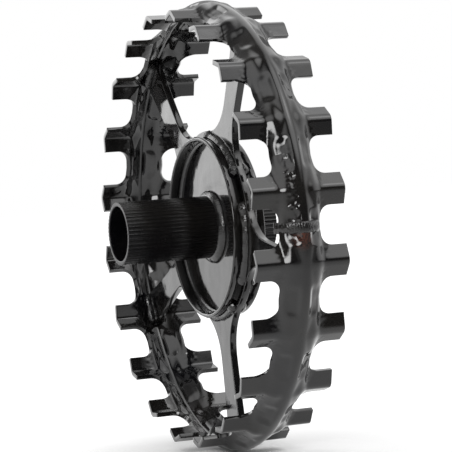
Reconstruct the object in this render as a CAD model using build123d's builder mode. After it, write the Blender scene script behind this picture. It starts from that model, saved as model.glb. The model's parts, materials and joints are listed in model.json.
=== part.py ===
from build123d import *
import os
from math import asin, atan2, cos, degrees, hypot, radians, sin, sqrt, tan

# Crosskill roller ring, millimetres. The axle line is Y, the long end of the hub tube
# points to -Y (front), +Z is up, and the origin is on the axle in the middle of the rim.
# Angles round the axle start at +X and turn towards +Z.

# Toothed rim: one pressed and rolled strip with an arched roof section
ridge_radius = 250.0
ridge_round = 8.0
strip_thickness = 5.0
band_half_width = 22.0
band_edge_drop = 16.0
band_bulge = 1.9
tooth_count = 20
tooth_half_length = 51.0
tooth_width = 33.0
tooth_crown_drop = 8.5
tooth_flank = 30.0
tooth_round = 10.0
valley_blend = 8.0
scallop_corner = 12.0
first_tooth = 9.0

# Butt weld that closes the rolled strip
butt_weld_angle = 0.0
butt_weld_width = 11.0
butt_weld_rise = 1.6

# Star plate
plate_thickness = 8.0
arm_count = 5
first_arm = -11.4
arm_waist_radius = 165.0
arm_waist_width = 29.0
arm_tip_width = 39.0
disc_margin = 6.0
star_root_blend = 55.0
tip_gap = 0.3

# Welds between arms and rim
arm_weld_leg = 7.0
arm_weld_reach = 5.8
arm_weld_bulge = 0.8
arm_weld_margin = 2.0

# Hub rings on both faces of the star plate, with their welds
hub_ring_radius = 100.0
hub_ring_wall = 4.0
hub_ring_height = 14.3
hub_ring_lip = 1.4
root_weld_leg = 4.5
root_weld_radius = 5.2
edge_weld_leg = 5.5
edge_weld_bulge = 0.9
edge_weld_arc = 54.0

# Hub tube, with its welds
bore_radius = 30.0
tube_wall = 4.5
tube_front = 114.0
tube_rear = 60.0
tube_slip = 0.4
groove_count = 48
groove_radius = 1.3
groove_depth = 0.8
bore_chamfer = 1.0
tube_weld_leg = 7.0
tube_weld_bulge = 1.2

# Spare lengths by which a cutting or trimmed form runs past the finished outline
outline_spare = 9.0
cut_spare = 20.0
match = 0.001

pitch = 360.0 / tooth_count
half_plate = plate_thickness / 2
tube_radius = bore_radius + tube_wall
star_disc_radius = hub_ring_radius + disc_margin


def axle_plane(angle):
    """Plane through the axle: its x runs outwards at the angle and its y along the axle."""
    turn = radians(angle)
    return Plane(origin=(0, 0, 0), x_dir=(cos(turn), 0, sin(turn)), z_dir=(-sin(turn), 0, cos(turn)))


def station(y):
    """Plane across the axle at y, with its x along X and its y along Z."""
    return Plane.XZ.offset(-y)


def turned(angle):
    """Turn about the axle from +X towards +Z."""
    return Location((0, 0, 0), (0, -angle, 0))


def axle_distance(vertex):
    return hypot(vertex.X, vertex.Z)


def write(sub_part, name):
    sub_part.part.label = name
    export_step(sub_part.part, f"parts/{name}.step")


os.makedirs("parts", exist_ok=True)

# The band's section: two bulged flanks that meet in a rounded ridge. Each flank is an arc
# about a point (arc_centre_radius, -arc_centre_y) on the far side of the section's middle.
flank_run = hypot(band_edge_drop, band_half_width)
flank_arc_radius = flank_run**2 / (8 * band_bulge) + band_bulge / 2
flank_arc_half = asin(flank_run / 2 / flank_arc_radius)
edge_slope = atan2(band_edge_drop, band_half_width) + flank_arc_half
arc_centre_y = flank_arc_radius * sin(edge_slope) - band_half_width
ridge_drop = sqrt((flank_arc_radius - ridge_round) ** 2 - arc_centre_y**2)
arc_centre_radius = ridge_radius - ridge_round - ridge_drop
band_peak = arc_centre_radius + sqrt(flank_arc_radius**2 - arc_centre_y**2)
band_edge_radius = band_peak - band_edge_drop
form_floor = band_edge_radius - tooth_half_length

tooth_slope = radians(tooth_flank)
tooth_crown = ridge_radius - tooth_crown_drop
tooth_peak = tooth_crown + tooth_round * (1 / cos(tooth_slope) - 1)


def band_radius(y, depth=0.0):
    """Radius of a flank at y, on the surface that lies depth inside the outer one."""
    return arc_centre_radius + sqrt((flank_arc_radius - depth) ** 2 - (abs(y) + arc_centre_y) ** 2)


def draw_flanks():
    """Both flanks of the band's section, from one edge over the peak to the other."""
    SagittaArc((band_edge_radius, band_half_width), (band_peak, 0), band_bulge)
    SagittaArc((band_peak, 0), (band_edge_radius, -band_half_width), band_bulge)


def pitch_form(depth, spare):
    """Solid under one pitch of the strip's surface that lies depth inside the outer one."""
    band_reach = band_half_width + spare
    band_foot = band_edge_radius - spare * tan(edge_slope)
    tooth_reach = tooth_width / 2 + spare
    tooth_foot = tooth_peak - tooth_reach * tan(tooth_slope)
    floor = form_floor - 2 * depth
    with BuildPart() as form:
        with BuildSketch(axle_plane(pitch / 2)) as band_section:
            with BuildLine():
                Polyline(
                    (band_edge_radius, -band_half_width),
                    (band_foot, -band_reach),
                    (floor, -band_reach),
                    (floor, band_reach),
                    (band_foot, band_reach),
                    (band_edge_radius, band_half_width),
                )
                draw_flanks()
            make_face()
            fillet(max(band_section.vertices(), key=axle_distance), ridge_round)
            offset(amount=-depth, kind=Kind.INTERSECTION)
        revolve(axis=Axis.Y, revolution_arc=pitch)
        with BuildSketch(station(tooth_half_length + depth)) as tooth_section:
            with BuildLine():
                Polyline(
                    (floor, -tooth_reach),
                    (tooth_foot, -tooth_reach),
                    (tooth_peak, 0),
                    (tooth_foot, tooth_reach),
                    (floor, tooth_reach),
                    close=True,
                )
            make_face()
            fillet(max(tooth_section.vertices(), key=axle_distance), tooth_round)
            offset(amount=-depth, kind=Kind.INTERSECTION)
        extrude(amount=2 * (tooth_half_length + depth))
    return form


def valley_edges(form):
    """Edges where the roof of the tooth runs into the flanks of the band."""
    return (
        form.edges()
        .filter_by(GeomType.BSPLINE)
        .filter_by(lambda edge: abs(edge.center().Z) < tooth_width / 2)
    )


outer_form = pitch_form(0, outline_spare)
outer_form.part = outer_form.part.fillet(valley_blend, valley_edges(outer_form))
inner_form = pitch_form(strip_thickness, 2 * outline_spare)
inner_form.part = inner_form.part.fillet(valley_blend, valley_edges(inner_form))

# The strip between both surfaces, with a quarter of a scallop cut at each corner
scallop_reach = ridge_radius * tan(radians(pitch / 2))
cut_reach = tooth_half_length + outline_spare
with BuildPart() as strip_pitch:
    add(outer_form.part)
    add(inner_form.part, mode=Mode.SUBTRACT)
    with BuildSketch(Plane.YZ.offset(form_floor - cut_spare)):
        for side in (-1, 1):
            for hand in (-1, 1):
                with BuildLine():
                    FilletPolyline(
                        (side * band_half_width, hand * scallop_reach),
                        (side * band_half_width, hand * tooth_width / 2),
                        (side * cut_reach, hand * tooth_width / 2),
                        radius=scallop_corner,
                    )
                    Polyline(
                        (side * cut_reach, hand * tooth_width / 2),
                        (side * cut_reach, hand * scallop_reach),
                        (side * band_half_width, hand * scallop_reach),
                    )
                make_face()
    extrude(amount=ridge_radius - form_floor + 2 * cut_spare, mode=Mode.SUBTRACT)

with BuildPart() as rim_ring:
    with Locations(*[turned(first_tooth + pitch * turn) for turn in range(tooth_count)]):
        add(strip_pitch.part)
write(rim_ring, "rim_ring")

# Butt weld across the strip, midway between two teeth
butt_weld_arc = degrees(butt_weld_width / ridge_radius)
with BuildPart() as rim_butt_weld:
    with BuildSketch(axle_plane(butt_weld_angle + butt_weld_arc / 2)) as weld_section:
        with BuildLine():
            Line((band_edge_radius, -band_half_width), (band_edge_radius, band_half_width))
            draw_flanks()
        make_face()
        fillet(max(weld_section.vertices(), key=axle_distance), ridge_round)
        under_weld = weld_section.sketch_local
        offset(amount=butt_weld_rise)
        add(under_weld, mode=Mode.SUBTRACT)
        with Locations((band_edge_radius, 0)):
            Rectangle(
                band_edge_drop + cut_spare,
                2 * band_half_width,
                align=(Align.MIN, Align.CENTER),
                mode=Mode.INTERSECT,
            )
    revolve(axis=Axis.Y, revolution_arc=butt_weld_arc)
write(rim_butt_weld, "rim_butt_weld")

# Star plate: a disc with arms that widen towards the rim, all from one flat plate
tip_radius = band_radius(half_plate, strip_thickness) - tip_gap
with BuildPart() as star_plate:
    with BuildSketch(station(half_plate)) as star:
        Circle(star_disc_radius)
        with PolarLocations(0, arm_count, start_angle=first_arm):
            Polygon(
                (0, -arm_waist_width / 2),
                (arm_waist_radius, -arm_waist_width / 2),
                (ridge_radius, -arm_tip_width / 2),
                (ridge_radius, arm_tip_width / 2),
                (arm_waist_radius, arm_waist_width / 2),
                (0, arm_waist_width / 2),
                align=None,
            )
        roots = star.vertices().filter_by(
            lambda vertex: abs(axle_distance(vertex) - star_disc_radius) < match
        )
        fillet(roots, star_root_blend)
        Circle(tip_radius, mode=Mode.INTERSECT)
        Circle(tube_radius + tube_slip, mode=Mode.SUBTRACT)
    extrude(amount=plate_thickness)
write(star_plate, "star_plate")

# Fillet welds between the arm tips and the flanks of the band, one on each face of an arm
weld_corner = band_radius(half_plate, strip_thickness)
weld_toe = half_plate + arm_weld_reach
weld_middle = half_plate + arm_weld_reach / 2
tip_arc = degrees((arm_tip_width - arm_weld_margin) / tip_radius)
for face, side in (("front", -1), ("rear", 1)):
    for turn in range(arm_count):
        arm_angle = first_arm + 360.0 / arm_count * turn
        with BuildPart() as arm_weld:
            with BuildSketch(axle_plane(arm_angle + tip_arc / 2)):
                with BuildLine():
                    Line((weld_corner, side * half_plate), (weld_corner - arm_weld_leg, side * half_plate))
                    SagittaArc(
                        (weld_corner - arm_weld_leg, side * half_plate),
                        (band_radius(weld_toe, strip_thickness), side * weld_toe),
                        side * arm_weld_bulge,
                    )
                    ThreePointArc(
                        (band_radius(weld_toe, strip_thickness), side * weld_toe),
                        (band_radius(weld_middle, strip_thickness), side * weld_middle),
                        (weld_corner, side * half_plate),
                    )
                make_face()
            revolve(axis=Axis.Y, revolution_arc=tip_arc)
        write(arm_weld, f"arm_{turn + 1}_{face}_weld")

# Hub rings, the welds at their roots inside and along their edges outside
for face, side in (("front", -1), ("rear", 1)):
    seat = side * half_plate
    lip = side * (half_plate + hub_ring_height)
    ring_bore = hub_ring_radius - hub_ring_wall
    with BuildPart() as hub_ring:
        with BuildSketch(station(max(seat, lip))):
            Circle(hub_ring_radius)
            Circle(ring_bore, mode=Mode.SUBTRACT)
        extrude(amount=hub_ring_height)
        fillet(hub_ring.edges().group_by(Axis.Y)[0 if side < 0 else -1], hub_ring_lip)
    write(hub_ring, f"{face}_hub_ring")

    with BuildPart() as root_weld:
        with BuildSketch(axle_plane(0)):
            with BuildLine():
                Polyline(
                    (ring_bore - root_weld_leg, seat),
                    (ring_bore, seat),
                    (ring_bore, seat + side * root_weld_leg),
                )
                RadiusArc(
                    (ring_bore, seat + side * root_weld_leg),
                    (ring_bore - root_weld_leg, seat),
                    side * root_weld_radius,
                )
            make_face()
        revolve(axis=Axis.Y)
    write(root_weld, f"{face}_ring_root_weld")

    with BuildPart() as edge_weld:
        for turn in range(arm_count):
            arm_angle = first_arm + 360.0 / arm_count * turn
            with BuildSketch(axle_plane(arm_angle + edge_weld_arc / 2)):
                with BuildLine():
                    Polyline(
                        (hub_ring_radius, seat + side * edge_weld_leg),
                        (hub_ring_radius, seat),
                        (hub_ring_radius + edge_weld_leg, seat),
                    )
                    SagittaArc(
                        (hub_ring_radius + edge_weld_leg, seat),
                        (hub_ring_radius, seat + side * edge_weld_leg),
                        -side * edge_weld_bulge,
                    )
                make_face()
            revolve(axis=Axis.Y, revolution_arc=edge_weld_arc)
    write(edge_weld, f"{face}_ring_edge_welds")

# Hub tube with shallow grooves along its whole length
with BuildPart() as hub_tube:
    with BuildSketch(station(tube_rear)):
        Circle(tube_radius)
        with PolarLocations(tube_radius - groove_depth + groove_radius, groove_count):
            Circle(groove_radius, mode=Mode.SUBTRACT)
        Circle(bore_radius, mode=Mode.SUBTRACT)
    extrude(amount=tube_front + tube_rear)
    bore_rims = hub_tube.edges().filter_by(GeomType.CIRCLE).filter_by(
        lambda edge: abs(edge.radius - bore_radius) < match
    )
    chamfer(bore_rims, bore_chamfer)
write(hub_tube, "hub_tube")

for face, side in (("front", -1), ("rear", 1)):
    seat = side * half_plate
    with BuildPart() as tube_weld:
        with BuildSketch(axle_plane(0)):
            with BuildLine():
                Polyline(
                    (tube_radius, seat + side * tube_weld_leg),
                    (tube_radius, seat),
                    (tube_radius + tube_weld_leg, seat),
                )
                SagittaArc(
                    (tube_radius + tube_weld_leg, seat),
                    (tube_radius, seat + side * tube_weld_leg),
                    -side * tube_weld_bulge,
                )
            make_face()
        revolve(axis=Axis.Y)
    write(tube_weld, f"tube_{face}_weld")
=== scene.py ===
import bmesh
import bpy
import json
from math import asin, atan, atan2, ceil, cos, hypot, pi, radians, sin, sqrt, tan
from mathutils import Matrix, Vector, noise

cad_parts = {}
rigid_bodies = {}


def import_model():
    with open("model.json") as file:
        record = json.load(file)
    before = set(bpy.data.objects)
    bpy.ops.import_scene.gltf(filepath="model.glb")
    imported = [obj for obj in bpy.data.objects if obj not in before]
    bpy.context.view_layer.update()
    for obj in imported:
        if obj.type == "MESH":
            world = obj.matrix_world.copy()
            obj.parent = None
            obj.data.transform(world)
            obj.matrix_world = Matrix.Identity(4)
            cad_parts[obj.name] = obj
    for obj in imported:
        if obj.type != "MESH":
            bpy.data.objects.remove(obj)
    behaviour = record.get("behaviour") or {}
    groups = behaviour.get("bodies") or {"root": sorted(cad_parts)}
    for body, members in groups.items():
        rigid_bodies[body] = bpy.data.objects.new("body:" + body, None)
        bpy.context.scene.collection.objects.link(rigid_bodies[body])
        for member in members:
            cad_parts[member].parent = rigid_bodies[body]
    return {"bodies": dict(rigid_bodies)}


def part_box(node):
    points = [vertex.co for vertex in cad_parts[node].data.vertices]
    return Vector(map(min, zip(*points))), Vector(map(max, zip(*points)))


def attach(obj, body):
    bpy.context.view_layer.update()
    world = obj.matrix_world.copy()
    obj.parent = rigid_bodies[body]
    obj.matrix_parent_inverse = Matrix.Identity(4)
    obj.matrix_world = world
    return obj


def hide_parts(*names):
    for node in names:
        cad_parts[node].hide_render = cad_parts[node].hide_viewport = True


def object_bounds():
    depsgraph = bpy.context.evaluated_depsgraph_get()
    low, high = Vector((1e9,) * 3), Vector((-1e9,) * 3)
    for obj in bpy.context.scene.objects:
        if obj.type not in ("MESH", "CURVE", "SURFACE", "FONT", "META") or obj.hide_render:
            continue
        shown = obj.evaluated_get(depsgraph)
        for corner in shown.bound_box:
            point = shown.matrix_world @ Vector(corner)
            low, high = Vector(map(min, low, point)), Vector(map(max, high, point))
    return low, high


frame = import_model()
cad_low, cad_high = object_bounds()
body = next(iter(frame["bodies"]))

# Sizes in metres. The axle line is Y, the long tube end points to -Y, +Z is up.
MM = 0.001
CM = 10 * MM

rim_low, rim_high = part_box("rim_ring")
plate_low, plate_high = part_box("star_plate")
ring_low, ring_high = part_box("front_hub_ring")
tube_low, tube_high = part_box("hub_tube")

RIDGE_RADIUS = 249.8 * MM
STRIP = 5.0 * MM
STRIP_EDGE = 1.5 * MM
BAND_HALF_WIDTH = 23.0 * MM
FLANK_ARC = 49.6 * MM
FLANK_CENTRE_Y = 17.05 * MM
RIDGE_ROUND = 11.0 * MM
FLANK_CENTRE = RIDGE_RADIUS - RIDGE_ROUND - sqrt((FLANK_ARC - RIDGE_ROUND) ** 2 - FLANK_CENTRE_Y ** 2)
RIDGE_REACH = RIDGE_ROUND * FLANK_CENTRE_Y / (FLANK_ARC - RIDGE_ROUND)
LIP_START = 15.0 * MM
LIP_DROP = 5.0 * MM
ROOT_SLOPE = 1.3
TOOTH_COUNT = 20
PITCH = 2 * pi / TOOTH_COUNT
FIRST_TOOTH = radians(9.0)
TOOTH_HALF_LENGTH = rim_high.y
TOOTH_HALF_WIDTH = 16.5 * MM
TOOTH_APEX = 241.5 * MM
TOOTH_SLOPE = tan(radians(30.0))
TOOTH_ROUND = 9.0 * MM
SCALLOP_CORNER = 12.0 * MM
SADDLE_AT_RIDGE = 8.0 * MM
SADDLE = 19.0 * MM
SADDLE_GROWTH = (2 * MM, 15 * MM)
SCALLOP_END = BAND_HALF_WIDTH + SCALLOP_CORNER

# Bays pressed into the flanks between teeth: from where to where they deepen
BAY_DEPTH = 2.6 * MM
BAY_ALONG = (0.50, 0.74)
BAY_ASIDE = (3.5 * MM, 9 * MM, 15 * MM, 21 * MM)

# Folds in the corners of the teeth, wrinkles on the ridge beside the butt weld, and a long wave
FOLD_DEPTH = 0.45 * MM
CREASE_SPOT = (12 * MM, 25 * MM)
CREASE_REACH = (3 * MM, 9 * MM)
WRINKLE_TURN = (radians(-1.0), radians(2.0), radians(13.0), radians(20.0))
WRINKLE_ASIDE = (-17 * MM, -13 * MM, -7 * MM, -3 * MM)
CREASE_SHARE, WRINKLE_SHARE, WAVE_SHARE = 0.8, 1.7, 0.25
FINE_CELLS, FINER_CELLS, WAVE_CELLS = 300.0, 640.0, 24.0  # per metre

# Mesh steps of one pitch of the rim
TOOTH_STEPS, CORNER_STEPS, GAP_STEPS = 28, 9, 8
BAND_STEPS, TIP_STEPS = 56, 12

HALF_PLATE = plate_high.y
FLANK_AT_PLATE = asin((HALF_PLATE + FLANK_CENTRE_Y) / FLANK_ARC)
ARM_COUNT = 5
FIRST_ARM = radians(-11.4)
ARM_WAIST_HALF = 14.5 * MM
ARM_TIP_HALF = 19.5 * MM
ARM_TAPER = 1.6
STAR_DISC = 106.0 * MM
STAR_ROOT_BLEND = 55.0 * MM
PLATE_EDGE = 0.9 * MM
PLATE_HOLE_GAP = 0.4 * MM

HUB_RING_RADIUS = ring_high.z
HUB_RING_BORE = HUB_RING_RADIUS - 4.0 * MM
HUB_RING_LIP = -ring_low.y
HUB_RING_EDGE = 1.8 * MM
HUB_RING_SINK = 0.2 * MM
EDGE_WELD_ARC = radians(54.0)

TUBE_RADIUS = tube_high.z
BORE_RADIUS = 30.0 * MM
TUBE_FRONT, TUBE_REAR = -tube_low.y, tube_high.y
GROOVE_COUNT = 48
GROOVE_DEPTH = 0.8 * MM
GROOVE_SHARE = 0.62
GROOVE_RISE = (2.2 * MM, 0.8 * MM)
BORE_EDGE, TUBE_EDGE = 0.9 * MM, 0.7 * MM

# Weld beads
CRUMPLED_END = (6 * MM, 16 * MM)
KNOT_PLACE, KNOT_REACH = 7 * MM, 9 * MM
END_TAPER = (-0.6 * MM, 4.5 * MM)
END_LEG = 0.35
BEAD_ROUGH, END_ROUGH = 0.10, 0.35
BEAD_DEPTH = 0.6 * MM
RIPPLE_BEND, RIPPLE_SKEW = 0.55, 0.7
BUTT_START, BUTT_END, BUTT_TAPER = -1.10, 0.985, 0.14
TUBE_WELD_SINK = 0.3 * MM
TIP_WELD_SHARE = 0.94


def polar(radius, angle, y):
    """Point at a radius and an angle round the axle."""
    return Vector((radius * cos(angle), y, radius * sin(angle)))


def spaced(first, last, count):
    """The values after first up to last, in equal steps."""
    return [first + (last - first) * (step + 1) / count for step in range(count)]


def smooth_step(low, high, value):
    share = min(max((value - low) / (high - low), 0.0), 1.0)
    return share * share * (3 - 2 * share)


def window(value, start, full, ease, end):
    """1 from full to ease, falling smoothly to 0 at start and end."""
    return smooth_step(start, full, value) * (1 - smooth_step(ease, end, value))


def join_rows(bm, rows, closed=False):
    """Faces between open rows of as many vertices each."""
    following = rows[1:] + rows[:1] if closed else rows[1:]
    for row, other in zip(rows, following):
        for column in range(len(row) - 1):
            bm.faces.new((row[column], row[column + 1], other[column + 1], other[column]))


def join_rings(bm, rings, closed=False):
    """Faces between rings of as many vertices each, in the order of the rings."""
    following = rings[1:] + rings[:1] if closed else rings[1:]
    faces = []
    for ring, other in zip(rings, following):
        for index in range(len(ring)):
            ahead = (index + 1) % len(ring)
            faces.append(bm.faces.new((ring[index], ring[ahead], other[ahead], other[index])))
    return faces


def bevel_edges(bm, edges, width, segments=2):
    bmesh.ops.bevel(
        bm, geom=list(edges), offset=width, offset_type="OFFSET", segments=segments,
        profile=0.5, affect="EDGES", clamp_overlap=True,
    )


def make_piece(name, bm, material, node, flat_faces=()):
    """Turn the mesh into an object that stands for a CAD node."""
    bmesh.ops.recalc_face_normals(bm, faces=bm.faces)
    for face in bm.faces:
        face.smooth = True
    for face in flat_faces:
        if face.is_valid:
            face.smooth = False
    mesh = bpy.data.meshes.new(name)
    bm.to_mesh(mesh)
    bm.free()
    mesh.materials.append(material)
    piece = bpy.data.objects.new(name, mesh)
    bpy.context.scene.collection.objects.link(piece)
    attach(piece, body)
    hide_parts(node)
    return piece


class Shader:
    """A node material, built from the output backwards."""

    def __init__(self, name):
        self.material = bpy.data.materials.new(name)
        self.material.use_nodes = True
        self.tree = self.material.node_tree
        self.principled = self.tree.nodes["Principled BSDF"]
        self.place = self.node("ShaderNodeTexCoord").outputs["Object"]

    def node(self, kind, inputs=None, **settings):
        made = self.tree.nodes.new(kind)
        for name, value in settings.items():
            setattr(made, name, value)
        for name, value in (inputs or {}).items():
            self.feed(made.inputs[name], value)
        return made

    def feed(self, socket, value):
        if isinstance(value, bpy.types.NodeSocket):
            self.tree.links.new(value, socket)
        else:
            socket.default_value = value

    def noise(self, scale, detail=2.0, roughness=0.5):
        """Noise value at a scale in cells per metre."""
        made = self.node("ShaderNodeTexNoise", {
            "Vector": self.place, "Scale": scale, "Detail": detail, "Roughness": roughness,
        })
        return made.outputs["Fac"]

    def ramp(self, value, low, high, start=0.35, end=0.65):
        """Numbers from low to high as the value goes from start to end."""
        made = self.node("ShaderNodeMapRange", {
            "Value": value, "From Min": start, "From Max": end, "To Min": low, "To Max": high,
        })
        return made.outputs["Result"]

    def mix(self, share, first, second):
        made = self.node("ShaderNodeMix", {"Factor": share}, data_type="RGBA")
        self.feed(made.inputs["A"], first)
        self.feed(made.inputs["B"], second)
        return made.outputs["Result"]

    def math(self, operation, first, second):
        made = self.node("ShaderNodeMath", operation=operation)
        self.feed(made.inputs[0], first)
        self.feed(made.inputs[1], second)
        return made.outputs["Value"]

    def near(self, point, reach):
        """1 at a point, falling to 0 at a distance."""
        away = self.node("ShaderNodeVectorMath", {0: self.place, 1: point}, operation="DISTANCE")
        return self.ramp(away.outputs["Value"], 1.0, 0.0, 0.0, reach)

    def bump(self, height, distance, under=None):
        made = self.node("ShaderNodeBump", {"Height": height, "Distance": distance, "Strength": 1.0})
        if under is not None:
            self.feed(made.inputs["Normal"], under)
        return made.outputs["Normal"]


DEEP_BLACK = (0.004, 0.004, 0.005, 1.0)
WARM_BLACK = (0.012, 0.011, 0.010, 1.0)
HEAT_BROWN = (0.110, 0.036, 0.022, 1.0)
DUST_GREY = (0.075, 0.075, 0.078, 1.0)


# Cells per metre of the paint's patterns
CLOUD_CELLS, SWELL_CELLS, GRAIN_CELLS, SPECK_CELLS = 14.0, 38.0, 420.0, 1900.0


def black_paint(
    name, wave, peel, rough=(0.06, 0.16), dust=0.08, coat=1.0, heat=None, heat_reach=0.0,
):
    """Thick black gloss enamel: long waves, fine peel, faint haze and a little dust.

    Wave and peel are heights in centimetres, coat is the share of clear gloss on top, and
    heat is the middle of a brown patch beside a weld.
    """
    paint = Shader(name)
    cloud = paint.noise(CLOUD_CELLS, 3.0)
    grain = paint.noise(GRAIN_CELLS, 3.0, 0.6)
    speck = paint.noise(SPECK_CELLS, 1.0)
    colour = paint.mix(paint.ramp(cloud, 0.0, 1.0), DEEP_BLACK, WARM_BLACK)
    colour = paint.mix(paint.ramp(speck, 0.0, dust, 0.62, 0.78), colour, DUST_GREY)
    if heat is not None:
        patchy = paint.ramp(grain, 0.0, 1.0, 0.35, 0.6)
        warm = paint.math("MULTIPLY", paint.near(heat, heat_reach), patchy)
        colour = paint.mix(warm, colour, HEAT_BROWN)
    paint.feed(paint.principled.inputs["Base Color"], colour)
    paint.feed(paint.principled.inputs["Roughness"], paint.ramp(cloud, rough[0], rough[1]))
    paint.feed(paint.principled.inputs["IOR"], 1.5)
    paint.feed(paint.principled.inputs["Specular IOR Level"], 0.05)
    paint.feed(paint.principled.inputs["Coat Weight"], coat)
    paint.feed(paint.principled.inputs["Coat Roughness"], 0.03)
    paint.feed(paint.principled.inputs["Coat IOR"], 1.52)
    normal = paint.bump(paint.noise(SWELL_CELLS, 1.0), wave * CM)
    normal = paint.bump(grain, peel * CM, normal)
    paint.feed(paint.principled.inputs["Normal"], normal)
    paint.feed(paint.principled.inputs["Coat Normal"], normal)
    return paint.material


# Rim: one pressed strip, a roof-shaped band with a smaller roof across it at each tooth

def roof_radius(distance, crown, slope, rounding):
    """Radius of a roof with a rounded crown, at a distance from its middle."""
    reach = rounding * sin(atan(slope))
    if abs(distance) < reach:
        return crown - rounding + sqrt(rounding ** 2 - distance ** 2)
    return crown + rounding * (1 / cos(atan(slope)) - 1) - abs(distance) * slope


def closeness(first, second, blend):
    return max(blend - abs(first - second), 0.0) / blend


def band_radius(y):
    """Radius of the band between teeth: a rounded ridge, an arched flank and a lip that turns in."""
    if abs(y) < RIDGE_REACH:
        return RIDGE_RADIUS - RIDGE_ROUND + sqrt(RIDGE_ROUND ** 2 - y ** 2)
    aside = min(abs(y), BAND_HALF_WIDTH)
    lip = max(aside - LIP_START, 0.0) / (BAND_HALF_WIDTH - LIP_START)
    flank = FLANK_CENTRE + sqrt(FLANK_ARC ** 2 - (aside + FLANK_CENTRE_Y) ** 2)
    return flank - LIP_DROP * lip ** 2 - ROOT_SLOPE * (abs(y) - aside)


def saddle(y):
    """Size of the blend between tooth and band, small on the ridge and large on the flanks."""
    return SADDLE_AT_RIDGE + (SADDLE - SADDLE_AT_RIDGE) * smooth_step(*SADDLE_GROWTH, abs(y))


def strip_point(z, y):
    """Point of the strip's outer surface, seen from a tooth that points along X."""
    band = sqrt(band_radius(y) ** 2 - z ** 2)
    bay = smooth_step(*BAY_ALONG, abs(z) / (RIDGE_RADIUS * sin(PITCH / 2)))
    band -= BAY_DEPTH * (bay * window(abs(y), *BAY_ASIDE))
    tooth = roof_radius(z, TOOTH_APEX, TOOTH_SLOPE, TOOTH_ROUND)
    lift = closeness(band, tooth, saddle(y)) ** 2 * saddle(y) / 4
    return Vector((max(band, tooth) + lift, y, z))


def strip_normal(z, y):
    step = 0.3 * MM
    along_z = strip_point(z + step, y) - strip_point(z - step, y)
    along_y = strip_point(z, y + step) - strip_point(z, y - step)
    return along_y.cross(along_z).normalized()


def fold_height(place, z, y):
    """Small folds of the press in the corners of tooth and band, and wrinkles on the ridge."""
    corner = hypot(abs(z) - CREASE_SPOT[0], abs(y) - CREASE_SPOT[1])
    creased = 1 - smooth_step(*CREASE_REACH, corner)
    wrinkled = window(atan2(place.z, place.x), *WRINKLE_TURN) * window(y, *WRINKLE_ASIDE)
    fine = noise.noise(place * FINE_CELLS) + 0.5 * noise.noise(place * FINER_CELLS)
    long_wave = noise.noise(place * WAVE_CELLS)
    folded = CREASE_SHARE * creased + WRINKLE_SHARE * wrinkled
    return FOLD_DEPTH * (folded * fine + WAVE_SHARE * long_wave)


def tooth_rows(pitch_edge):
    """Rows of (z, half length) across one pitch, as they lie at the lip of the band."""
    side = []
    for turn in spaced(0.0, pi / 2, CORNER_STEPS):
        z = TOOTH_HALF_WIDTH + SCALLOP_CORNER * (1 - cos(turn))
        side.append((z, SCALLOP_END - SCALLOP_CORNER * sin(turn)))
    side += [(z, BAND_HALF_WIDTH) for z in spaced(side[-1][0], pitch_edge, GAP_STEPS)]
    across = [-TOOTH_HALF_WIDTH] + spaced(-TOOTH_HALF_WIDTH, TOOTH_HALF_WIDTH, TOOTH_STEPS)
    rows = [(-z, half) for z, half in reversed(side[:-1])]
    rows += [(z, SCALLOP_END) for z in across]
    return rows + side


def spread(z, y, pitch_edge):
    """z of a row at y: beside a tooth, the rows spread until they meet those of the next pitch."""
    beyond = max(abs(z) - TOOTH_HALF_WIDTH, 0.0)
    if not beyond:
        return z
    own_edge = band_radius(y) * sin(PITCH / 2)
    stretch = (own_edge - TOOTH_HALF_WIDTH) / (pitch_edge - TOOTH_HALF_WIDTH)
    return (TOOTH_HALF_WIDTH + beyond * stretch) * (1 if z > 0 else -1)


def build_rim(material):
    """The strip's outer surface, its copy one thickness below, and walls along all their edges."""
    pitch_edge = band_radius(BAND_HALF_WIDTH) * sin(PITCH / 2)
    rows = tooth_rows(pitch_edge)
    columns = [-1.0] + spaced(-1.0, 1.0, BAND_STEPS)
    tips = spaced(SCALLOP_END, TOOTH_HALF_LENGTH, TIP_STEPS)
    bm = bmesh.new()
    inner_of = {}

    def add_point(turn, z, y):
        point = strip_point(z, y)
        normal = strip_normal(z, y)
        spin = Matrix.Rotation(-turn, 3, "Y")
        place = spin @ point
        shift = fold_height(place, z, y)
        outer = bm.verts.new(spin @ (point + normal * shift))
        inner = bm.verts.new(spin @ (point + normal * (shift - STRIP)))
        inner_of[outer] = inner
        return outer

    band_rows = []
    for tooth in range(TOOTH_COUNT):
        turn = FIRST_TOOTH + PITCH * tooth
        left_flap, right_flap = [], []
        for z, half in rows:
            row = [add_point(turn, spread(z, share * half, pitch_edge), share * half) for share in columns]
            band_rows.append(row)
            if abs(z) <= TOOTH_HALF_WIDTH:
                left_flap.append([row[0]] + [add_point(turn, z, -y) for y in tips])
                right_flap.append([row[-1]] + [add_point(turn, z, y) for y in tips])
        for flap in (left_flap, right_flap):
            join_rows(bm, flap)
    join_rows(bm, band_rows, closed=True)
    for face in list(bm.faces):
        bm.faces.new([inner_of[vert] for vert in reversed(face.verts)])
    walls = []
    for edge in list(bm.edges):
        first, second = edge.verts
        if len(edge.link_faces) == 1 and first in inner_of:
            walls.append(bm.faces.new((first, second, inner_of[second], inner_of[first])))
    bmesh.ops.recalc_face_normals(bm, faces=bm.faces)
    wall_set = set(walls)
    rims = {edge for wall in walls for edge in wall.edges if not wall_set.issuperset(edge.link_faces)}
    bevel_edges(bm, rims, STRIP_EDGE, 3)
    make_piece("rim_strip", bm, material, "rim_ring")


# Weld beads

def add_bead(bm, path, section, closed=False):
    """Skin a bead: path gives stations, section(station) the points round it, last ones hidden."""
    rings = []
    for station in path:
        rings.append([bm.verts.new(point) for point in section(station)])
    join_rings(bm, rings, closed)
    return rings


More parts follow.
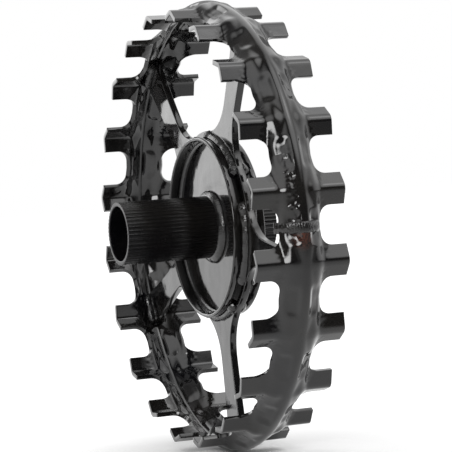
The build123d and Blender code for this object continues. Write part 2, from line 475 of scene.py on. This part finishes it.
def cap_ends(bm, rings):
    bm.faces.new(rings[0])
    bm.faces.new(list(reversed(rings[-1])))


def ripple(run, across, spacing):
    """Height share of stacked weld ripples, each one bent backwards at its sides."""
    phase = run / spacing + RIPPLE_BEND * (2 * across - 1) ** 2
    return sin(pi * (phase % 1.0) ** RIPPLE_SKEW)


def fillet_bead(
    bm, centre, first_leg, second_leg, size, start, arc,
    spacing=2.4 * MM, height=0.14 * MM, uneven=0.16, knots=0.0, bulge=0.16, seed=0.0, steps=12,
):
    """Fillet weld round the axle in the corner at centre (radius, y).

    The legs are directions in the (radius, y) plane. Size is the length of a leg, uneven and
    knots are shares of it, and bulge is the share by which the face stands out.
    """
    radius = centre[0]
    length = radius * arc
    whole = arc > 2 * pi - 1e-6
    count = ceil(length / (spacing / 5))
    first_leg, second_leg = Vector(first_leg).normalized(), Vector(second_leg).normalized()
    corner = Vector(centre)
    out = (first_leg + second_leg).normalized()

    def ring_points(index):
        turn = start + arc * index / count
        run = length * index / count
        place = polar(radius, turn, centre[1] + seed)
        wander = noise.noise(place * 55.0) + 0.6 * noise.noise(place * 130.0)
        leg = size * (1 + uneven * wander)
        lift, crumpled = 1.0, 0.0
        if not whole:
            from_end = min(run, length - run)
            crumpled = 1 - smooth_step(*CRUMPLED_END, from_end)
            leg *= 1 + knots * (1 - smooth_step(0.0, KNOT_REACH, abs(from_end - KNOT_PLACE)))
            lift = sqrt(smooth_step(*END_TAPER, from_end))
            leg *= END_LEG + (1 - END_LEG) * lift
        points = []
        for step in range(steps + 1):
            across = step / steps
            chord = corner + first_leg * leg * (1 - across) + second_leg * leg * across
            hump = 4 * across * (1 - across)
            rise = leg * bulge * hump + height * lift * ripple(run, across, spacing) * hump ** 0.5
            grain = noise.noise(place * GRAIN_CELLS + Vector((across * 3, 0, 0)))
            rough = (BEAD_ROUGH + END_ROUGH * crumpled) * MM * grain
            flat = chord + out * (rise + rough)
            points.append(polar(flat[0], turn, flat[1]))
        hidden = corner - out * BEAD_DEPTH
        points.append(polar(hidden[0], turn, hidden[1]))
        return points

    rings = add_bead(bm, range(count if whole else count + 1), ring_points, closed=whole)
    if not whole:
        cap_ends(bm, rings)


def build_butt_weld(material):
    """Bead across the strip where its two ends meet, midway between two teeth."""
    width, rise, spacing, steps = 5.8 * MM, 1.5 * MM, 2.2 * MM, 14
    bm = bmesh.new()

    def ring_points(station):
        y = BAND_HALF_WIDTH * station
        slope = (band_radius(y + MM) - band_radius(y - MM)) / (2 * MM)
        normal = Vector((1.0, -slope, 0.0)).normalized()
        end = sqrt(smooth_step(0.0, BUTT_TAPER, min(1 + BUTT_TAPER + station, 1 - station)))
        wander = 1 + 0.16 * noise.noise(Vector((station * 6, 3.0, 0.0)))
        points = []
        for step in range(steps + 1):
            across = 2 * step / steps - 1
            z = across * width * wander
            base = Vector((sqrt(band_radius(y) ** 2 - z ** 2), y, z))
            hump = (1 - across ** 2) ** 0.6
            height = rise * end * hump * (0.72 + 0.28 * ripple(y, across / 2 + 0.5, spacing))
            rough = 0.12 * MM * noise.noise(base * 600.0)
            points.append(base + normal * (height + rough * end))
        points += [points[-1] - normal * (2 * MM), points[0] - normal * (2 * MM)]
        return points

    rings = add_bead(bm, [BUTT_START] + spaced(BUTT_START, BUTT_END, 126), ring_points)
    cap_ends(bm, rings)
    make_piece("rim_butt_bead", bm, material, "rim_butt_weld")


# Turned pieces and the plate

FLAT_HOLD = 0.2


def rounded(corners, steps=4):
    """Outline of (x, y) points from corners of (x, y, radius), with points that hold the flats."""
    points = []
    for index, (x, y, radius) in enumerate(corners):
        here = Vector((x, y))
        if not radius:
            points.append(here)
            continue
        back = (Vector(corners[index - 1][:2]) - here).normalized()
        ahead = (Vector(corners[(index + 1) % len(corners)][:2]) - here).normalized()
        half = back.angle(ahead) / 2
        centre = here + (back + ahead).normalized() * radius / sin(half)
        first, last = here + back * radius / tan(half), here + ahead * radius / tan(half)
        points.append(first + back * radius * FLAT_HOLD)
        for step in range(steps + 1):
            spoke = (first - centre).lerp(last - centre, step / steps)
            points.append(centre + spoke.normalized() * radius)
        points.append(last + ahead * radius * FLAT_HOLD)
    return points


def add_lathe(bm, profile, segments, depth_at=lambda radius, turn: 0.0):
    """Closed profile of (radius, y) points turned round the axle."""
    rings = []
    for segment in range(segments):
        turn = 2 * pi * segment / segments
        rings.append([bm.verts.new(polar(x - depth_at(x, turn), turn, y)) for x, y in profile])
    join_rings(bm, rings, closed=True)


def arm_half_outline():
    """Half of an arm's outline as (along, aside), from the middle of its tip to the gap."""
    tip_radius = band_radius(HALF_PLATE) - STRIP / cos(FLANK_AT_PLATE)
    blend_reach = STAR_DISC + STAR_ROOT_BLEND
    blend_side = ARM_WAIST_HALF + STAR_ROOT_BLEND
    root = sqrt(blend_reach ** 2 - blend_side ** 2)
    corner = sqrt(tip_radius ** 2 - ARM_TIP_HALF ** 2)
    tip_turn = asin(ARM_TIP_HALF / tip_radius)
    points = []
    for turn in spaced(-tip_turn / 8, tip_turn, 8):
        points.append(Vector((tip_radius * cos(turn), tip_radius * sin(turn))))
    for along in spaced(corner, root, 24)[:-1]:
        share = (along - root) / (corner - root)
        aside = ARM_WAIST_HALF + (ARM_TIP_HALF - ARM_WAIST_HALF) * share ** ARM_TAPER
        points.append(Vector((along, aside)))
    root_turn = asin(blend_side / blend_reach)
    for turn in [0.0] + spaced(0.0, pi / 2 - root_turn, 18):
        along, aside = root - STAR_ROOT_BLEND * sin(turn), blend_side - STAR_ROOT_BLEND * cos(turn)
        points.append(Vector((along, aside)))
    for turn in spaced(root_turn, pi / ARM_COUNT, 6):
        points.append(Vector((STAR_DISC * cos(turn), STAR_DISC * sin(turn))))
    return points


def build_star(material):
    half = arm_half_outline()
    arm = [Vector((point.x, -point.y)) for point in reversed(half[:-1])] + half
    outline = []
    for index in range(ARM_COUNT):
        spin = Matrix.Rotation(FIRST_ARM + 2 * pi / ARM_COUNT * index, 2)
        outline += [spin @ point for point in arm]
    outward = []
    for index in range(len(outline)):
        along = outline[(index + 1) % len(outline)] - outline[index - 1]
        outward.append(Vector((along.y, -along.x)).normalized())
    bm = bmesh.new()

    def loop(inset, y):
        inner = [point - out * inset for point, out in zip(outline, outward)]
        return [bm.verts.new((point.x, y, point.y)) for point in inner]

    def hole_loop(y):
        inner = [point.normalized() * (TUBE_RADIUS + PLATE_HOLE_GAP) for point in outline]
        return [bm.verts.new((point.x, y, point.y)) for point in inner]

    loops = []
    for side in (-1, 1):
        edge = []
        for turn in (0.0, pi / 8, pi / 4, 3 * pi / 8, pi / 2):
            y = side * (HALF_PLATE - PLATE_EDGE * (1 - cos(turn)))
            edge.append(loop(PLATE_EDGE * (1 - sin(turn)), y))
        loops.append([hole_loop(side * HALF_PLATE)] + edge)
    faces = join_rings(bm, loops[0] + list(reversed(loops[1])), closed=True)
    sides = len(outline)
    flat = faces[:sides] + faces[-2 * sides:-sides]
    make_piece("star", bm, material, "star_plate", flat)


def build_hub_ring(face, side, material):
    bm = bmesh.new()
    seat, lip = side * (HALF_PLATE - HUB_RING_SINK), side * HUB_RING_LIP
    add_lathe(bm, rounded([
        (HUB_RING_BORE, seat, 0), (HUB_RING_BORE, lip, HUB_RING_EDGE),
        (HUB_RING_RADIUS, lip, HUB_RING_EDGE), (HUB_RING_RADIUS, seat, 0),
    ], 6), 288)
    make_piece(f"{face}_ring", bm, material, f"{face}_hub_ring")


def build_tube(material):
    def groove(radius, turn):
        across = turn * GROOVE_COUNT / (2 * pi)
        across = abs(across - round(across)) / (GROOVE_SHARE / 2)
        share = 0.5 + 0.5 * cos(pi * min(across, 1.0))
        outside = smooth_step(TUBE_RADIUS - GROOVE_RISE[0], TUBE_RADIUS - GROOVE_RISE[1], radius)
        return GROOVE_DEPTH * share * outside

    bm = bmesh.new()
    add_lathe(bm, rounded([
        (BORE_RADIUS, TUBE_REAR, BORE_EDGE), (BORE_RADIUS, -TUBE_FRONT, BORE_EDGE),
        (TUBE_RADIUS, -TUBE_FRONT, TUBE_EDGE), (TUBE_RADIUS, TUBE_REAR, TUBE_EDGE),
    ]), GROOVE_COUNT * 12, groove)
    make_piece("grooved_tube", bm, material, "hub_tube")


rim_paint = black_paint(
    "rim_paint", wave=0.04, peel=0.003, heat=(RIDGE_RADIUS, -4.0 * MM, -9.0 * MM), heat_reach=16 * MM,
)
plate_paint = black_paint("plate_paint", wave=0.04, peel=0.004, rough=(0.06, 0.12), dust=0.05)
tube_paint = black_paint("tube_paint", wave=0.03, peel=0.010, rough=(0.08, 0.18), coat=0.4)
weld_paint = black_paint("weld_paint", wave=0.08, peel=0.030, rough=(0.08, 0.20), dust=0.10)

build_rim(rim_paint)
build_butt_weld(weld_paint)
build_star(plate_paint)
build_tube(tube_paint)

flank = FLANK_AT_PLATE
inner_flank = STRIP / cos(flank)
for face, side in (("front", -1), ("rear", 1)):
    build_hub_ring(face, side, plate_paint)
    seat = side * HALF_PLATE

    bm = bmesh.new()
    fillet_bead(
        bm, (HUB_RING_BORE, seat), (-1, 0), (0, side), 3.0 * MM, 0.0, 2 * pi,
        height=0.0, uneven=0.05, bulge=-0.22, seed=0.3 * side,
    )
    make_piece(f"{face}_root_bead", bm, weld_paint, f"{face}_ring_root_weld")

    bm = bmesh.new()
    for turn in range(ARM_COUNT):
        middle = FIRST_ARM + 2 * pi / ARM_COUNT * turn
        fillet_bead(
            bm, (HUB_RING_RADIUS, seat), (1, 0), (0, side), 5.8 * MM,
            middle - EDGE_WELD_ARC / 2, EDGE_WELD_ARC, uneven=0.22, knots=0.30, seed=0.5 * side,
        )
    make_piece(f"{face}_edge_beads", bm, weld_paint, f"{face}_ring_edge_welds")

    bm = bmesh.new()
    fillet_bead(
        bm, (TUBE_RADIUS - TUBE_WELD_SINK, seat), (1, 0), (0, side), 7.0 * MM, 0.0, 2 * pi,
        uneven=0.14, seed=0.7 * side,
    )
    make_piece(f"tube_{face}_bead", bm, weld_paint, f"tube_{face}_weld")

    tip = (band_radius(HALF_PLATE) - inner_flank, seat)
    tip_arc = 2 * ARM_TIP_HALF * TIP_WELD_SHARE / tip[0]
    for turn in range(ARM_COUNT):
        middle = FIRST_ARM + 2 * pi / ARM_COUNT * turn
        bm = bmesh.new()
        fillet_bead(
            bm, tip, (-1, 0), (-sin(flank), side * cos(flank)), 7.5 * MM,
            middle - tip_arc / 2, tip_arc, uneven=0.20, seed=0.9 * side,
        )
        make_piece(f"arm_{turn + 1}_{face}_bead", bm, weld_paint, f"arm_{turn + 1}_{face}_weld")


# Floor, studio light and camera
OPEN_SIDE = (0.93, -0.37, 0.0)  # towards the camera, where the room is dark
DIM_SIDE = (0.93, 0.37, 0.0)  # where gloss sees the floor fall off to grey
FLOOR_SIZE = 15.0
FLOOR_GAP = 0.4 * MM
FLOOR_FADE = (0.02, 0.34)  # metres from the ring over which the floor turns white
FLOOR_GLOSS = (1.3, 0.25, 0.0, 1.6)  # levels near and far, and the metres where they hold
# Soft lights as gloss sees them: direction, angle cosines where each starts and is full, level
SOFT_LIGHTS = (
    ((-0.50, 0.35, 0.80), 0.82, 0.97, 1.5),
    ((0.48, 0.37, 0.79), 0.80, 0.95, 2.4),
    ((0.00, 0.95, 0.30), 0.70, 0.97, 1.2),
    ((-0.93, -0.36, 0.00), 0.84, 0.96, 1.5),
    ((-0.87, -0.35, 0.36), 0.90, 0.985, 2.6),
    ((0.28, -0.68, 0.67), 0.82, 0.985, 1.7),
    ((0.48, 0.37, 0.79), 0.970, 0.998, 4.5),
    ((0.68, -0.69, 0.25), 0.970, 0.997, 10.0),
)
ROOM_LEVEL = 0.05
BACK_LEVEL = 0.35
BACK_TO_ROOM = (-0.35, 0.25)
WORLD_FILL = 0.5


def camera_or_glossy(tree):
    """The light path, and 1 for rays from the camera, from gloss and through glass."""
    path = tree.nodes.new("ShaderNodeLightPath")
    total = path.outputs["Is Camera Ray"]
    for name in ("Is Glossy Ray", "Is Transmission Ray"):
        adder = tree.nodes.new("ShaderNodeMath")
        adder.operation = "MAXIMUM"
        tree.links.new(total, adder.inputs[0])
        tree.links.new(path.outputs[name], adder.inputs[1])
        total = adder.outputs["Value"]
    return path, total


def build_floor():
    """Pale floor that turns into the white background away from the ring."""
    floor = Shader("floor_white")
    path, seen = camera_or_glossy(floor.tree)
    away = floor.node("ShaderNodeVectorMath", {0: floor.place, 1: (0, 0, 0)}, operation="DISTANCE")
    far = floor.ramp(away.outputs["Value"], 0.0, 1.0, *FLOOR_FADE)
    diffuse = floor.node("ShaderNodeBsdfDiffuse", {
        "Color": floor.mix(floor.noise(9.0), (0.93, 0.93, 0.93, 1), (0.95, 0.95, 0.95, 1)),
    })
    aside = floor.node("ShaderNodeVectorMath", {0: floor.place, 1: DIM_SIDE}, operation="DOT_PRODUCT")
    reflected = floor.ramp(aside.outputs["Value"], *FLOOR_GLOSS)
    level = floor.math("MAXIMUM", path.outputs["Is Camera Ray"], reflected)
    glow = floor.node("ShaderNodeEmission", {"Color": (1, 1, 1, 1), "Strength": level})
    mixed = floor.node("ShaderNodeMixShader", {"Fac": floor.math("MULTIPLY", far, seen)})
    floor.tree.links.new(diffuse.outputs[0], mixed.inputs[1])
    floor.tree.links.new(glow.outputs[0], mixed.inputs[2])
    floor.tree.links.new(mixed.outputs[0], floor.tree.nodes["Material Output"].inputs["Surface"])
    bm = bmesh.new()
    bmesh.ops.create_grid(bm, x_segments=4, y_segments=4, size=FLOOR_SIZE)
    mesh = bpy.data.meshes.new("floor")
    bm.to_mesh(mesh)
    bm.free()
    mesh.materials.append(floor.material)
    ground = bpy.data.objects.new("floor", mesh)
    ground.location.z = cad_low.z - FLOOR_GAP
    bpy.context.scene.collection.objects.link(ground)


def build_world():
    """White for the camera. Gloss sees a dim room with large soft lights in it."""
    world = bpy.data.worlds.new("studio")
    bpy.context.scene.world = world
    world.use_nodes = True
    tree = world.node_tree
    background = tree.nodes["Background"]
    background.inputs["Color"].default_value = (1.0, 1.0, 1.0, 1.0)
    path, seen = camera_or_glossy(tree)
    place = tree.nodes.new("ShaderNodeTexCoord")

    def facing(direction, start, end):
        """0 to 1 as a direction turns from the angle cosine start to end."""
        toward = tree.nodes.new("ShaderNodeVectorMath")
        toward.operation = "DOT_PRODUCT"
        toward.inputs[1].default_value = direction
        tree.links.new(place.outputs["Generated"], toward.inputs[0])
        turn = tree.nodes.new("ShaderNodeMapRange")
        turn.interpolation_type = "SMOOTHSTEP"
        turn.inputs["From Min"].default_value = start
        turn.inputs["From Max"].default_value = end
        tree.links.new(toward.outputs["Value"], turn.inputs["Value"])
        return turn.outputs["Result"]

    def blend(share, first, second):
        made = tree.nodes.new("ShaderNodeMix")
        for name, value in (("Factor", share), ("A", first), ("B", second)):
            if isinstance(value, bpy.types.NodeSocket):
                tree.links.new(value, made.inputs[name])
            else:
                made.inputs[name].default_value = value
        return made.outputs["Result"]

    studio = blend(facing(OPEN_SIDE, *BACK_TO_ROOM), BACK_LEVEL, ROOM_LEVEL)
    for direction, start, end, level in SOFT_LIGHTS:
        studio = blend(facing(direction, start, end), studio, level)
    gloss = blend(path.outputs["Is Camera Ray"], studio, 1.0)
    tree.links.new(blend(seen, WORLD_FILL, gloss), background.inputs["Strength"])


def add_softbox(name, place, size, radiance):
    """Large soft area lamp that faces the ring and that neither camera nor gloss sees."""
    lamp = bpy.data.lights.new(name, "AREA")
    lamp.shape = "RECTANGLE"
    lamp.size, lamp.size_y = size
    lamp.energy = radiance * pi * size[0] * size[1]
    softbox = bpy.data.objects.new(name, lamp)
    softbox.location = place
    softbox.rotation_mode = "QUATERNION"
    softbox.rotation_quaternion = (-Vector(place)).to_track_quat("-Z", "Y")
    softbox.visible_camera = False
    softbox.visible_glossy = False
    bpy.context.scene.collection.objects.link(softbox)


build_floor()
build_world()
add_softbox("left_softbox", (-1.9, -0.76, 0.75), (1.4, 1.6), 1.6)
add_softbox("right_softbox", (0.58, -1.42, 1.38), (1.0, 1.0), 3.5)
add_softbox("top_softbox", (0.85, 0.45, 1.80), (1.3, 1.3), 3.0)

camera_data = bpy.data.cameras.new("camera")
camera_data.sensor_width = 36.0
camera_data.lens = 172.8
camera = bpy.data.objects.new("camera", camera_data)
camera_right = Vector((0.37024346, 0.92657433, -0.06617999))
camera_up = Vector((-0.00171449, 0.07192436, 0.99740862))
camera_back = Vector((0.92893317, -0.36917055, 0.02821813))
camera.matrix_world = Matrix((camera_right, camera_up, camera_back)).transposed().to_4x4()
camera.location = Vector((2242.147, -878.306, 67.643)) * MM
bpy.context.scene.collection.objects.link(camera)
bpy.context.scene.camera = camera
bpy.context.scene.view_settings.view_transform = "Standard"
